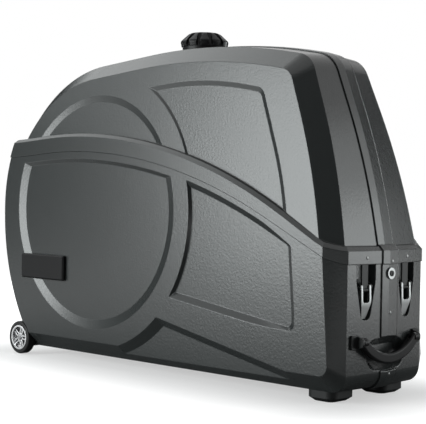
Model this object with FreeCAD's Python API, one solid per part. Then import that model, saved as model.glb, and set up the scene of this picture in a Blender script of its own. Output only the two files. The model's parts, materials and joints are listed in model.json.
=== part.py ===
import FreeCAD, Part
import math
import os

# A hard travel case for one bicycle. The lower case stands on two wheels and two feet. The lid lifts off
# along a humped parting line. Each shell is a pair of drafted halves that meet in a lap band.
# Millimetres, +X towards the handle end, +Z up, origin on the floor under the middle of the case.

V = FreeCAD.Vector

# Shells
case_width = 372.0
shell_wall = 4.0
edge_chamfer = 41.0
end_draft = 8.0
lid_side_step = 13.0
overrun = 40.0
seat_gap = 0.3
run_clearance = 0.05
chamfer_wall_share = math.sqrt(2.0) - 1.0
corner_keep_share = 0.6
ear_round_share = 0.95

# Wheel circle pressed into the side faces, the centre of the layout
circle_x = -222.0
circle_z = 435.0
circle_radius = 331.0
circle_bevel = 25.0
circle_depth = 7.5
circle_cut_drop = 20.0
ring_radius = 386.0
lid_circle_radius = 319.0
lid_circle_bevel = 18.0
lid_press_depth = 5.0
lid_press_run = 13.0
ring_run = 5.0

# Lower case outline on the centre plane, reaches counted from the circle's centre
floor_z = 27.0
lower_arc_radius = 450.0
tail_bend_radius = 640.0
tail_bend_z = 215.0
tail_lean_angle = 35.0
tail_foot_radius = 12.0
lower_end_reach = 882.0
lower_corner_radius = 42.0
face_lean_share = 0.075

# Lid outline on the centre plane
lid_arc_radius = 419.0
crown_reach = 407.0
crown_z = 893.0
crown_radius = 1850.0
crown_rise_share = 0.099
crown_fall_share = 0.188
lid_end_reach = 868.0
lid_end_z = 372.0
lid_end_lean_share = 0.2
lid_bend_z = 570.0
lid_bend_radius = 1600.0
lid_upper_lean_share = 0.4
lid_corner_radius = 38.0
lid_crown_corner_radius = 75.0
lid_base_z = 250.0
lid_panel_top_margin = 103.0
lid_panel_end_margin = 140.0
lid_panel_bend_radius = 900.0
lid_panel_corner_radius = 34.0
lid_panel_crown_radius = 1100.0

# Lean of the lid's side faces, inwards with the distance above the long fall of the parting line
lid_lean_x = -590.0
lid_lean_z = 655.0
lid_lean_along_share = 0.0148
lid_lean_up_share = 0.0905

# Humped parting line and the lid's flange above it
crest_reach = -80.0
crest_rise_share = 0.08
part_crest_z = 597.0
part_radius = 1700.0
part_fall_share = 0.48
part_left_z = 580.0
part_right_z = 322.0
flange_crest_z = 648.0
flange_radius = 1640.0
flange_fall_share = 0.55
flange_left_z = 630.0
flange_right_z = 366.0
left_blend_radius = 2800.0
right_blend_radius = 200.0
flange_proud = 2.5
ledge_chamfer = 9.0
rim_gap = 1.0
rim_height = 14.0
rim_root = 12.0

# Lap band where the far half covers the near half
lap_edge_y = -24.0
lap_split_y = 30.0
lap_crease_y = 37.0
lap_thick = 3.0
crease_width = 2.5
crease_depth = 1.5

# Pressed panel, beam and skirt on the lower side faces
panel_gap = 14.0
panel_depth = 10.0
panel_run = 16.0
circle_cut_run = 11.0
panel_right_reach = 753.0
panel_right_lean_share = 0.085
panel_low_z = 152.0
panel_low_rise_share = 0.145
panel_corner_radius = 26.0
beam_end_reach = 753.0
beam_end_z = 62.0
beam_rise_share = 0.20
skirt_depth = 22.0

# Draw latches, two on each end, in a frame with x outwards and z up from the parting line
latch_y = 79.0
latch_pocket_half = 34.0
latch_pocket_drop = 126.0
latch_pocket_shoulder = 34.0
latch_pocket_tip_half = 15.0
latch_pocket_depth = 24.0
latch_pocket_draft = 3.0
latch_pocket_round = 60.0
latch_pivot_drop = 48.0
latch_pivot_in = 4.7
latch_crank = 7.0
latch_strap_half = 11.5
latch_strap_thick = 3.0
latch_strap_rise = 24.0
latch_knuckle_radius = 4.5
latch_trunnion_radius = 2.2
latch_trunnion_length = 3.2
latch_prong_gap = 1.0
latch_prong_width = 6.0
latch_pin_radius = 2.5
latch_boss_radius = 5.5
latch_lever_length = 76.0
latch_lever_tip_half = 7.5
latch_lever_thick = 5.0
latch_lever_tip_in = 2.5
latch_lever_bow = 7.0
latch_notch_length = 37.0
latch_ear_gap = 0.5
latch_ear_width = 4.0
latch_ear_radius = 6.0
latch_base_thick = 3.0
latch_base_above = 18.0
latch_base_below = 30.0
latch_keeper_gap = 7.5
latch_keeper_thick = 3.0
latch_keeper_reach = 8.0
latch_keeper_plate = 2.0
latch_keeper_set = 1.2
latch_keeper_rise = 6.0
latch_left_sink = 6.0
latch_left_tilt = 12.0

# Cam lock in the lap band under the flange
lock_drop = 18.0
lock_y = 6.0
lock_body_radius = 10.0
lock_rim_radius = 14.0
lock_rim_thick = 4.0
lock_body_length = 24.0
lock_plug_radius = 7.0
lock_plug_proud = 2.0
lock_key_width = 2.2
lock_key_height = 9.0
lock_key_depth = 6.0
lock_nut_radius = 14.0
lock_nut_thick = 5.0
lock_cam_length = 30.0
lock_cam_width = 20.0
lock_cam_thick = 3.0

# Bow handle and the hand scoop behind it
handle_y = 100.0
handle_z = 146.0
handle_proud = 13.0
handle_sag = 44.0
handle_width = 25.0
handle_thick = 17.0
handle_soften = 5.0
handle_eye_radius = 11.0
handle_eye_length = 14.0
handle_pin_radius = 4.0
handle_pin_length = 17.0
handle_lug_thick = 6.0
handle_plate_thick = 4.0
handle_plate_half = 17.0
handle_plate_length = 25.0
handle_lug_radius = 10.0
scoop_half = 78.0
scoop_high = 40.0
scoop_z = 112.0
scoop_depth = 20.0
scoop_slope = 18.0

# Transport wheels
wheel_reach = -329.5
wheel_radius = 48.0
wheel_width = 27.0
wheel_side_gap = 3.0
wheel_well_gap = 6.0
wheel_shoulder = 5.0
hub_radius = 36.0
hub_dish = 5.0
hub_rim = 5.0
hub_core_radius = 12.0
spoke_count = 5
spoke_width = 13.0
spoke_slot = 5.0
spoke_thick = 9.0
bearing_radius = 9.0
bearing_length = 7.0
axle_radius = 4.0
axle_head_radius = 7.0
axle_head_thick = 3.0
axle_side_gap = 0.5
bracket_width = 22.0
bracket_radius = 15.0
bracket_leg_share = 2.2

# Feet under the handle end
foot_reach = 792.0
foot_y = 98.0
foot_long = 84.0
foot_wide = 92.0
foot_corner = 24.0
foot_taper = 13.0
foot_heel = 9.0

# Bare plate on the side of the wheel circle
plate_left_reach = -312.0
plate_right_reach = -117.0
plate_low_z = 229.0
plate_high_z = 300.0
plate_proud = 5.0
plate_bevel = 4.0
plate_corner = 5.0

# Hold-down knob, stud and mast
knob_reach = 250.0
knob_radius = 66.0
knob_height = 38.0
knob_rim_height = 14.0
knob_crown_radius = 40.0
knob_soften = 3.0
knob_lobes = 12
knob_flute_radius = 7.0
knob_flute_out = 4.0
knob_dish_radius = 22.0
knob_dish_depth = 4.0
knob_seat_radius = 60.0
knob_seat_z = 884.0
stud_radius = 6.0
stud_length = 92.0
stud_hole_gap = 1.5
mast_side = 40.0
mast_wall = 3.0
mast_corner = 5.0
mast_top_gap = 45.0
insert_length = 40.0

# Bike rail, fork mount and cradle on the floor
rail_start_reach = -190.0
rail_end_reach = 640.0
rail_width = 64.0
rail_height = 24.0
rail_wall = 3.0
rail_lip = 14.0
mount_reach = 560.0
mount_length = 60.0
mount_width = 90.0
mount_height = 74.0
mount_waist = 20.0
skewer_radius = 4.5
skewer_side = 14.0
skewer_nut_radius = 10.0
skewer_nut_length = 12.0
dropout_inset = 5.0
dropout_gap = 8.0
cam_pin_radius = 3.0
cam_radius = 9.0
cam_height = 16.0
cam_lever_length = 58.0
cam_lever_width = 12.0
cam_lever_thick = 5.0
cradle_reach = 70.0
cradle_length = 120.0
cradle_width = 70.0
cradle_height = 120.0
cradle_saddle_radius = 26.0
cradle_lip = 8.0

half_width = case_width / 2.0
lid_width = case_width - 2.0 * lid_side_step


# Places on an outline: side_plane draws in X and Z, end_plane in Y and Z, top_plane in X and Y
def side_plane(y):
    return lambda u, w: V(u, y, w)


def end_plane(x):
    return lambda u, w: V(x, u, w)


def top_plane(z):
    return lambda u, w: V(u, w, z)


def rounded_edges(points, put, closed=True):
    """Lines and tangent arcs through corner points given as (u, w, radius)."""
    count = len(points)
    places = [put(point[0], point[1]) for point in points]
    ends = []
    for index in range(count):
        at = places[index]
        radius = points[index][2]
        if radius == 0:
            ends.append((at, None, at))
            continue
        before = (places[index - 1] - at).normalize()
        after = (places[(index + 1) % count] - at).normalize()
        half_angle = before.getAngle(after) / 2.0
        reach = radius / math.tan(half_angle)
        middle = (before + after).normalize()
        crown = at + middle * (radius / math.sin(half_angle) - radius)
        ends.append((at + before * reach, crown, at + after * reach))
    edges = []
    for index in range(count):
        start, crown, stop = ends[index]
        if crown is not None:
            edges.append(Part.Arc(start, crown, stop).toShape())
        if closed or index + 1 < count:
            edges.append(Part.LineSegment(stop, ends[(index + 1) % count][0]).toShape())
    return edges


def rounded_wire(points, put):
    return Part.Wire(rounded_edges(points, put))


def prism(points, put, along):
    return Part.Face(rounded_wire(points, put)).extrude(along)


def ruled(wires):
    return Part.makeLoft(wires, True, True)


def meet(first, first_way, second, second_way):
    """Point where two lines cross, each given by a point and a direction."""
    cross = first_way[0] * second_way[1] - first_way[1] * second_way[0]
    gap = (second[0] - first[0], second[1] - first[1])
    along = (gap[0] * second_way[1] - gap[1] * second_way[0]) / cross
    return (first[0] + along * first_way[0], first[1] + along * first_way[1])


def inset(points, insets):
    """Counter-clockwise outline moved inwards, each side by its own amount."""
    count = len(points)
    sides = []
    for index in range(count):
        start = points[index]
        stop = points[(index + 1) % count]
        length = math.hypot(stop[0] - start[0], stop[1] - start[1])
        way = ((stop[0] - start[0]) / length, (stop[1] - start[1]) / length)
        amount = insets[index]
        sides.append(((start[0] - way[1] * amount, start[1] + way[0] * amount), way))
    moved = []
    for index in range(count):
        place = meet(*sides[index - 1], *sides[index])
        shrink = min(insets[index - 1], insets[index])
        radius = max(points[index][2] - shrink, points[index][2] * corner_keep_share)
        moved.append((place[0], place[1], radius))
    return moved


def even(points, amount):
    return inset(points, [amount] * len(points))


def box(low, high):
    size = high - low
    return Part.makeBox(size.x, size.y, size.z, low)


def rod(radius, start, stop):
    return Part.makeCylinder(radius, (stop - start).Length, start, stop - start)


def mirrored(shape):
    return shape.mirror(V(0, 0, 0), V(0, 1, 0))


def both_sides(shape):
    return [shape, mirrored(shape)]


# Outlines of the two shells
tail_way = (math.sin(math.radians(tail_lean_angle)), -math.cos(math.radians(tail_lean_angle)))
tail_foot = meet((circle_x - lower_arc_radius, tail_bend_z), tail_way, (circle_x, floor_z), (1.0, 0))
lower_outline = [
    (tail_foot[0], floor_z, tail_foot_radius),
    (circle_x + lower_end_reach, floor_z, lower_corner_radius),
    (circle_x + lower_end_reach, circle_z + lower_arc_radius, lower_corner_radius),
    (circle_x - lower_arc_radius, circle_z + lower_arc_radius, lower_arc_radius),
    (circle_x - lower_arc_radius, tail_bend_z, tail_bend_radius),
]
lower_drafts = [0, end_draft, end_draft, end_draft, end_draft]

crown_place = (circle_x + crown_reach, crown_z)
lid_end_place = (circle_x + lid_end_reach, lid_end_z)
lid_end_way = (-lid_end_lean_share, 1.0)
lid_bend = meet((0, lid_bend_z), (1.0, 0), lid_end_place, lid_end_way)
lid_left = (circle_x - lid_arc_radius, lid_base_z)
lid_corner = meet(crown_place, (1.0, -crown_fall_share), lid_bend, (-lid_upper_lean_share, 1.0))
lid_heel = meet((0, lid_base_z), (1.0, 0), lid_end_place, lid_end_way)
lid_shoulder = meet(crown_place, (1.0, crown_rise_share), lid_left, (0, 1.0))
lid_outline = [
    (lid_left[0], lid_left[1], lid_corner_radius),
    (lid_heel[0], lid_heel[1], lid_corner_radius),
    (lid_bend[0], lid_bend[1], lid_bend_radius),
    (lid_corner[0], lid_corner[1], lid_crown_corner_radius),
    (crown_place[0], crown_place[1], crown_radius),
    (lid_shoulder[0], lid_shoulder[1], lid_arc_radius),
]
lid_drafts = [end_draft] * len(lid_outline)


def lid_shift(x, z):
    """How far a side of the lid has moved inwards at a place on it."""
    return lid_lean_along_share * (x - lid_lean_x) + lid_lean_up_share * (z - lid_lean_z)


def lid_plane(y):
    """Side plane of the lid, leaning towards the middle on both sides."""
    side = (y > 0) - (y < 0)
    return lambda u, w: V(u, y - side * lid_shift(u, w), w)


def no_lean(z):
    return 0


def case_lean(z):
    """How far the handle-end side of a lower face stands back, so that the chamfer narrows downwards."""
    return face_lean_share * (z - part_right_z)


def leaned(points, lean):
    """Outline of a side face with the two corners of its handle-end side set back."""
    moved = list(points)
    for index in (1, 2):
        x, z, radius = points[index]
        moved[index] = (x - lean(z), z, radius)
    return moved


def shell_block(outline, drafts, plane, lean, width, depth):
    """Drafted halves back to back with chamfered sides, every face moved inwards by depth."""
    chamfer_gain = depth * chamfer_wall_share
    middle = [depth] * len(outline)
    shoulder = [depth + draft for draft in drafts]
    face = [edge_chamfer + chamfer_gain + draft for draft in drafts]
    shoulder_y = width / 2.0 - edge_chamfer - chamfer_gain
    face_y = width / 2.0 - depth
    face_points = leaned(inset(outline, face), lean)
    shoulder_points = inset(outline, shoulder)
    sections = [
        (-face_y, face_points),
        (-shoulder_y, shoulder_points),
        (0, inset(outline, middle)),
        (shoulder_y, shoulder_points),
        (face_y, face_points),
    ]
    return ruled([rounded_wire(points, plane(y)) for y, points in sections])


def lower_block(depth):
    return shell_block(lower_outline, lower_drafts, side_plane, case_lean, case_width, depth)


def flange_block(depth):
    return shell_block(lower_outline, lower_drafts, side_plane, no_lean, case_width, depth - flange_proud)


def lid_block(depth):
    return shell_block(lid_outline, lid_drafts, lid_plane, no_lean, lid_width, depth)


def hump(crest_z, radius, fall_share, left_z, right_z):
    """Corner points of a humped line: level, over one long arc, then level again at the handle end."""
    crest_x = circle_x + crest_reach
    rise_angle = math.atan(crest_rise_share)
    fall_angle = math.atan(fall_share)
    rise_start = (crest_x - radius * math.sin(rise_angle), crest_z - radius * (1.0 - math.cos(rise_angle)))
    fall_start = (crest_x + radius * math.sin(fall_angle), crest_z - radius * (1.0 - math.cos(fall_angle)))
    left = meet((0, left_z), (1.0, 0), rise_start, (1.0, crest_rise_share))
    top = meet(rise_start, (1.0, crest_rise_share), fall_start, (1.0, -fall_share))
    right = meet((0, right_z), (1.0, 0), fall_start, (1.0, -fall_share))
    return [
        (left[0], left[1], left_blend_radius),
        (top[0], top[1], radius),
        (right[0], right[1], right_blend_radius),
    ]


part_line = hump(part_crest_z, part_radius, part_fall_share, part_left_z, part_right_z)
flange_line = hump(flange_crest_z, flange_radius, flange_fall_share, flange_left_z, flange_right_z)
far_left = circle_x - lower_arc_radius - overrun
far_right = circle_x + lower_end_reach + overrun
far_y = half_width + overrun


def region_points(line, lift, edge_z):
    """Outline between a humped line, lifted, and a level line above or below it."""
    inner = [(x, z + lift, radius) for x, z, radius in line]
    points = [(far_left, edge_z, 0), (far_left, inner[0][1], 0)] + inner
    return points + [(far_right, inner[-1][1], 0), (far_right, edge_z, 0)]


def region(line, lift, edge_z):
    return prism(region_points(line, lift, edge_z), side_plane(-far_y), V(0, 2.0 * far_y, 0))


def under(line, lift):
    return region(line, lift, -overrun)


def over(line, lift):
    return region(line, lift, crown_z + overrun)


def slab(low_y, high_y):
    return box(V(far_left, low_y, -overrun), V(far_right, high_y, crown_z + overrun))


# Pressings of the side faces, drawn on the near side and mirrored
def cone(radius, face_y, depth, run):
    """Round pressing that narrows by run over its depth, carried out past the face at the same slope."""
    slope = run / depth
    start = V(circle_x, face_y - overrun, circle_z)
    return Part.makeCone(radius + overrun * slope, radius - run, overrun + depth, start, V(0, 1, 0))


def pressing(points, face_y, depth, run):
    """Pressing with sloped walls, given by its outline on the side face."""
    slope = run / depth
    mouth = rounded_wire(even(points, -overrun * slope), side_plane(face_y - overrun))
    bottom = rounded_wire(even(points, run), side_plane(face_y + depth))
    return ruled([mouth, bottom])


def outside_ring(cutter, face_y, depth, run, grow):
    """Keep a pressing off the raised ring round the wheel circle."""
    slope = run / depth
    edge = ring_radius - grow
    start = V(circle_x, face_y - overrun, circle_z)
    ring = Part.makeCone(edge - overrun * slope, edge + run, overrun + depth, start, V(0, 1, 0))
    return cutter.cut(ring)


def sloped_under(line, lift, face_y, depth, run):
    """Block under a humped line whose upper side slopes down by run over the depth."""
    mouth = region_points(line, lift + overrun * run / depth, -overrun)
    bottom = region_points(line, lift - run, -overrun)
    start = rounded_wire(mouth, side_plane(face_y - overrun))
    stop = rounded_wire(bottom, side_plane(face_y + depth))
    return ruled([start, stop])


def lower_presses(grow):
    """Circle, panel and skirt of the near lower face, grown by a wall for the inside."""
    face_y = -half_width
    circle_slope = circle_bevel / circle_depth
    circle_edge = circle_radius + grow * chamfer_wall_share
    circle_run = circle_bevel + grow * circle_slope
    circle = cone(circle_edge + grow, face_y, circle_depth + grow, circle_run)
    cut_depth = circle_depth + grow
    cut_run = circle_cut_run + grow
    circle = circle.common(sloped_under(part_line, grow - circle_cut_drop, face_y, cut_depth, cut_run))
    panel_low = (circle_x + panel_right_reach, panel_low_z)
    low_way = (-1.0, panel_low_rise_share)
    right_way = (-panel_right_lean_share, 1.0)
    fall_way = (1.0, -part_fall_share)
    rise_way = (1.0, crest_rise_share)
    top = (part_line[1][0], part_line[1][1] - panel_gap)
    left = (circle_x + crest_reach - part_radius * math.sin(math.atan(crest_rise_share)) - overrun, 0)
    low_left = meet(panel_low, low_way, left, (0, 1.0))
    top_right = meet(top, fall_way, panel_low, right_way)
    top_left = meet(top, rise_way, left, (0, 1.0))
    panel_points = [
        (low_left[0], low_left[1], 0),
        (panel_low[0], panel_low[1], panel_corner_radius),
        (top_right[0], top_right[1], panel_corner_radius),
        (top[0], top[1], part_radius),
        (top_left[0], top_left[1], 0),
    ]
    panel = pressing(even(panel_points, -grow), face_y, panel_depth + grow, panel_run + grow)
    panel = outside_ring(panel, face_y, panel_depth + grow, ring_run + grow, grow)
    beam_end = (circle_x + beam_end_reach, beam_end_z)
    beam_way = (-1.0, beam_rise_share)
    beam_left = meet(beam_end, beam_way, (circle_x, 0), (0, 1.0))
    beam_right = meet(beam_end, beam_way, (far_right, 0), (0, 1.0))
    skirt_points = [
        (circle_x, -2.0 * overrun, 0),
        (far_right, -2.0 * overrun, 0),
        (beam_right[0], beam_right[1], 0),
        (beam_left[0], beam_left[1], 0),
    ]
    skirt = pressing(even(skirt_points, -grow), face_y, skirt_depth + grow, skirt_depth + grow)
    skirt = outside_ring(skirt, face_y, skirt_depth + grow, skirt_depth + grow, grow)
    return [circle, panel, skirt]


def turned_in(shape):
    """Pressing of the near lid face, turned with the lean of that face."""
    axis = V(lid_lean_up_share, 0, -lid_lean_along_share)
    angle = math.degrees(math.atan(axis.Length))
    copy = shape.copy()
    copy.rotate(V(lid_lean_x, -lid_width / 2.0, lid_lean_z), axis, -angle)
    return copy


def lid_presses(grow):
    """Circle top and panel of the near lid face."""
    face_y = -lid_width / 2.0
    depth = lid_press_depth + grow
    circle = cone(lid_circle_radius + grow, face_y, depth, lid_circle_bevel + grow)
    margins = [0] + [lid_panel_end_margin] * 2 + [lid_panel_top_margin] * 3
    points = inset(lid_outline, margins)
    panel_radii = {2: lid_panel_bend_radius, 3: lid_panel_corner_radius, 4: lid_panel_crown_radius}
    for index, radius in panel_radii.items():
        points[index] = (points[index][0], points[index][1], radius)
    panel = pressing(even(points, -grow), face_y, depth, lid_press_run + grow)
    panel = outside_ring(panel, face_y, depth, ring_run + grow, grow)
    return [turned_in(circle), turned_in(panel)]


# Latch frames: name, side of the case in X, side in Y
latch_places = [
    ("front_near", 1.0, -latch_y),
    ("front_far", 1.0, latch_y),
    ("rear_near", -1.0, -latch_y),
    ("rear_far", -1.0, latch_y),
]


def latch_frame(end, y):
    """Placement of a latch: x outwards from the wall, z up along it, origin at the parting line."""
    draft_here = end_draft * abs(y) / (half_width - edge_chamfer)
    if end > 0:
        wall_x = circle_x + lower_end_reach - draft_here
        return FreeCAD.Placement(V(wall_x, y, part_right_z), FreeCAD.Rotation())
    arc_radius = lower_arc_radius - draft_here
    tilt = math.radians(latch_left_tilt)
    wall_z = circle_z + arc_radius * math.sin(tilt)
    wall_x = circle_x - arc_radius * math.cos(tilt)
    rise = (part_left_z - wall_z) / math.cos(tilt)
    way = V(-math.cos(tilt), 0, math.sin(tilt))
    up = V(math.sin(tilt), 0, math.cos(tilt))
    origin = V(wall_x, y, wall_z) + up * rise - way * latch_left_sink
    turn = FreeCAD.Rotation(V(0, 0, 1), 180.0).multiply(FreeCAD.Rotation(V(0, 1, 0), -latch_left_tilt))
    return FreeCAD.Placement(origin, turn)


def placed(shape, frame):
    copy = shape.copy()
    copy.Placement = frame.multiply(copy.Placement)
    return copy


def latch_pocket(grow, top_z):
    """U-shaped pocket that the lever lies in, open at the top behind the flange."""
    points = [
        (-latch_pocket_tip_half, -latch_pocket_drop, latch_pocket_tip_half),
        (latch_pocket_tip_half, -latch_pocket_drop, latch_pocket_tip_half),
        (latch_pocket_half, -latch_pocket_shoulder, latch_pocket_round),
        (latch_pocket_half, top_z, 0),
        (-latch_pocket_half, top_z, 0),
        (-latch_pocket_half, -latch_pocket_shoulder, latch_pocket_round),
    ]
    widen = grow + overrun * latch_pocket_draft / latch_pocket_depth
    narrow = latch_pocket_draft - grow
    mouth = inset(points, [-widen, -widen, -widen, 0, -widen, -widen])
    bottom = inset(points, [narrow, narrow, narrow, 0, narrow, narrow])
    floor_x = -latch_pocket_depth - grow
    return ruled([rounded_wire(bottom, end_plane(floor_x)), rounded_wire(mouth, end_plane(overrun))])


# Build of the lower case
wheel_place_x = circle_x + wheel_reach
wheel_outer_y = half_width - wheel_side_gap
wheel_inner_y = wheel_outer_y - wheel_width


def wheel_well(grow):
    radius = wheel_radius + wheel_well_gap + grow
    inner = -(wheel_inner_y - wheel_well_gap - grow)
    return rod(radius, V(wheel_place_x, -far_y, wheel_radius), V(wheel_place_x, inner, wheel_radius))


def hand_scoop(grow):
    """Oval dish behind the handle, in the end wall."""
    slope = scoop_slope / scoop_depth
    wires = []
    for out, inward in [(overrun, -overrun * slope), (-scoop_depth - grow, scoop_slope)]:
        wide = scoop_half + grow - inward
        high = scoop_high + grow - inward
        round_off = high * ear_round_share
        points = [
            (-wide, scoop_z - high, round_off),
            (wide, scoop_z - high, round_off),
            (wide, scoop_z + high, round_off),
            (-wide, scoop_z + high, round_off),
        ]
        wires.append(rounded_wire(points, end_plane(circle_x + lower_end_reach + out)))
    return ruled(wires)


lower_outer = lower_block(0)
pocket_top = rim_height + overrun
pockets = []
pocket_cores = []
for name, end, y in latch_places:
    pockets.append(placed(latch_pocket(0, pocket_top), latch_frame(end, y)))
    pocket_cores.append(placed(latch_pocket(shell_wall, pocket_top), latch_frame(end, y)))
lower_cuts = pockets + both_sides(wheel_well(0)) + [hand_scoop(0)]
lower_cores = pocket_cores + both_sides(wheel_well(shell_wall)) + [hand_scoop(shell_wall)]
for cutter in lower_presses(0):
    lower_cuts += both_sides(cutter)
for core in lower_presses(shell_wall):
    lower_cores += both_sides(core)

lower_cavity = lower_block(shell_wall)
for core in lower_cores:
    lower_cavity = lower_cavity.cut(core)
lower_solid = lower_outer.common(under(part_line, 0))
lower_shell = lower_solid.cut(lower_cavity)

rim_depth = rim_gap + shell_wall - flange_proud
rim_outer = lower_block(rim_depth)
rim_band = under(part_line, rim_height).cut(under(part_line, -rim_root))
rim = rim_outer.cut(lower_block(rim_depth + shell_wall)).common(rim_band)
collars = [core.common(rim_outer).common(rim_band) for core in pocket_cores]
lower_shell = lower_shell.fuse([rim] + collars)
for cutter in lower_cuts:
    lower_shell = lower_shell.cut(cutter)

lower_lap = lower_block(-lap_thick).common(under(part_line, 0)).cut(lower_outer)
lower_lap = lower_lap.common(slab(lap_edge_y, lap_crease_y))
for cutter in lower_cuts:
    lower_lap = lower_lap.cut(cutter)

# Build of the lid
lid_line_lift = -shell_wall
flange_top = under(flange_line, 0)


def chamfer_ledge(block, line_lift, amount):
    """Slope the ledge round the top of a flange block."""
    block = block.Solids[0]
    crest = over(flange_line, line_lift - seat_gap)
    edges = []
    for edge in block.Edges:
        span = edge.BoundBox
        if span.YLength > half_width:
            continue
        middle = edge.valueAt((edge.FirstParameter + edge.LastParameter) / 2.0)
        ends = [edge.valueAt(edge.FirstParameter), middle, edge.valueAt(edge.LastParameter)]
        if all(crest.isInside(point, seat_gap, True) for point in ends):
            edges.append(edge)
    return block.makeChamfer(amount, edges)


part_gap = seat_gap
flange_outer = flange_block(0).common(flange_top).cut(under(part_line, part_gap))
flange_outer = chamfer_ledge(flange_outer, 0, ledge_chamfer)
flange_inner = flange_block(shell_wall).common(under(flange_line, lid_line_lift))
flange_inner = flange_inner.cut(under(part_line, -overrun))
inner_chamfer = ledge_chamfer - shell_wall * (1.0 - chamfer_wall_share)
flange_inner = chamfer_ledge(flange_inner, lid_line_lift, inner_chamfer)

lid_upper = lid_block(0).common(over(flange_line, lid_line_lift))
lid_solid = lid_upper.fuse(flange_outer)
lid_cavity = lid_block(shell_wall).common(over(flange_line, lid_line_lift - rim_root))
lid_cuts = []
for cutter in lid_presses(0):
    lid_cuts += both_sides(cutter.common(over(flange_line, 0)))
for core in lid_presses(shell_wall):
    for side in both_sides(core):
        lid_cavity = lid_cavity.cut(side)
lid_shell = lid_solid
for cutter in lid_cuts + [lid_cavity, flange_inner]:
    lid_shell = lid_shell.cut(cutter)

lid_grown = lid_block(-lap_thick).common(over(flange_line, lid_line_lift))
flange_grown = flange_block(-lap_thick).common(under(flange_line, lap_thick))
flange_grown = flange_grown.cut(under(part_line, part_gap))
lap_chamfer = ledge_chamfer + lap_thick * (1.0 - chamfer_wall_share)
flange_grown = chamfer_ledge(flange_grown, lap_thick, lap_chamfer)
lid_lap = lid_grown.fuse(flange_grown).cut(lid_solid).common(slab(lap_edge_y, lap_crease_y))

# Holes for the lock and the knob's stud
lower_wall_x = circle_x + lower_end_reach
lock_z = part_right_z - lock_drop
lock_face_x = lower_wall_x + lap_thick
lock_hole = rod(
    lock_body_radius + seat_gap,
    V(lower_wall_x - lock_body_length, lock_y, lock_z),
    V(lower_wall_x + overrun, lock_y, lock_z),
)
knob_x = circle_x + knob_reach
stud_hole = rod(stud_radius + stud_hole_gap, V(knob_x, 0, lid_end_z), V(knob_x, 0, crown_z + overrun))

near_side = slab(-far_y, lap_split_y)
far_side = slab(lap_split_y, far_y)
lower_near = lower_shell.common(near_side).cut(lock_hole)
crease_y = lap_crease_y + lap_thick
crease = slab(crease_y, crease_y + crease_width)
lower_crease = lower_outer.cut(lower_block(crease_depth)).common(crease)
lower_far = lower_shell.common(far_side).fuse(lower_lap.cut(lock_hole)).cut(lower_crease)
lid_near = lid_shell.common(near_side).cut(stud_hole)
lid_under = flange_block(crease_depth).common(under(flange_line, -crease_depth))
lid_crease = lid_solid.cut(lid_block(crease_depth)).cut(lid_under).common(crease)
lid_far = lid_shell.common(far_side).fuse(lid_lap.cut(stud_hole)).cut(lid_crease)

# Outside of the lower case as a full block, to seat what stands on it
lower_full = lower_solid
for cutter in lower_cuts:
    lower_full = lower_full.cut(cutter)
lower_full = lower_full.fuse(lower_lap)


# Latch pieces in their own frame
pivot = V(-latch_pivot_in, 0, -latch_pivot_drop)
crank = pivot - V(0, 0, latch_crank)
prong_inner = latch_strap_half + latch_prong_gap
prong_outer = prong_inner + latch_prong_width
ear_inner = prong_outer + latch_ear_gap
ear_outer = ear_inner + latch_ear_width


def crosswise(radius, centre, start_y, stop_y):
    return rod(radius, V(centre.x, start_y, centre.z), V(centre.x, stop_y, centre.z))


def pair(radius, centre, start_y, stop_y):
    return [crosswise(radius, centre, side * start_y, side * stop_y) for side in (-1.0, 1.0)]


def latch_strap():
    """Strap that pulls the lid down, hung in the lever's fork by two trunnions."""
    points = [
        (-latch_strap_half, crank.z, 0),
        (latch_strap_half, crank.z, 0),
        (latch_strap_half, latch_strap_rise, latch_knuckle_radius),
        (-latch_strap_half, latch_strap_rise, latch_knuckle_radius),
    ]
    blade = prism(points, end_plane(pivot.x - latch_strap_thick / 2.0), V(latch_strap_thick, 0, 0))
    knuckle = crosswise(latch_knuckle_radius, crank, -latch_strap_half, latch_strap_half)
    trunnions = pair(latch_trunnion_radius, crank, 0, latch_strap_half + latch_trunnion_length)
    return blade.fuse([knuckle] + trunnions).removeSplitter()


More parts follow.
